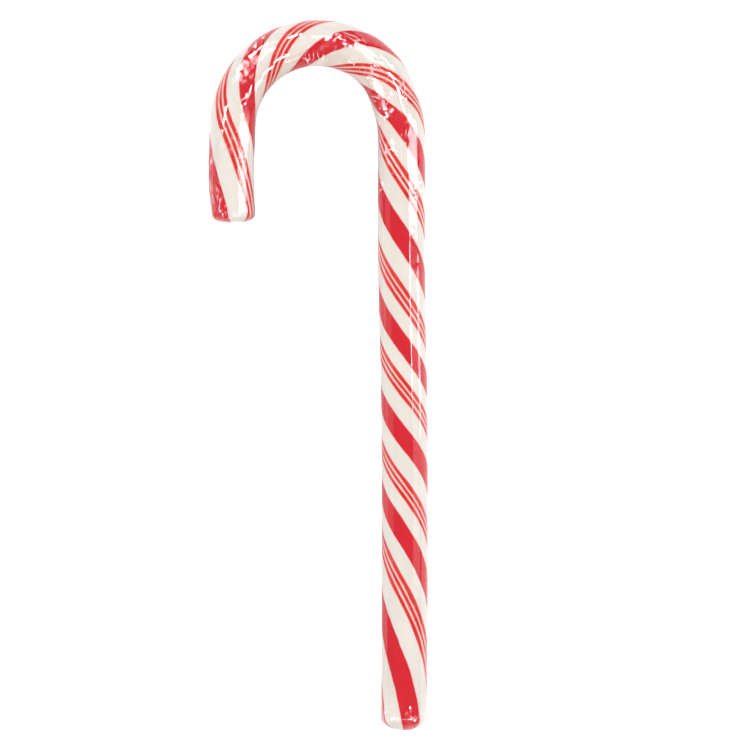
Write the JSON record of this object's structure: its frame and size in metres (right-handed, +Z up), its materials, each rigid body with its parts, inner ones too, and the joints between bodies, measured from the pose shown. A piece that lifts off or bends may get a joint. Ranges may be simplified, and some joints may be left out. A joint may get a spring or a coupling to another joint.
{
  "type": "candy cane",
  "caption": "Hard striped candy cane in tight clear wrapping film, lying flat, with a half-round hook and a short end.",
  "frame": {"origin": "on the surface that the cane lies on, under the middle of its box", "axes": "+Y along the straight shaft from its foot towards the bend, -X to the side that the hook turns to, +Z up, square to the flat of the hook"},
  "size_m": [0.0496, 0.1598, 0.0109],
  "materials": {
    "candy": "gloss",
    "film": "gloss"
  },
  "bodies": {
    "root": {"candy_cane": "candy"}
  },
  "joints": []
}
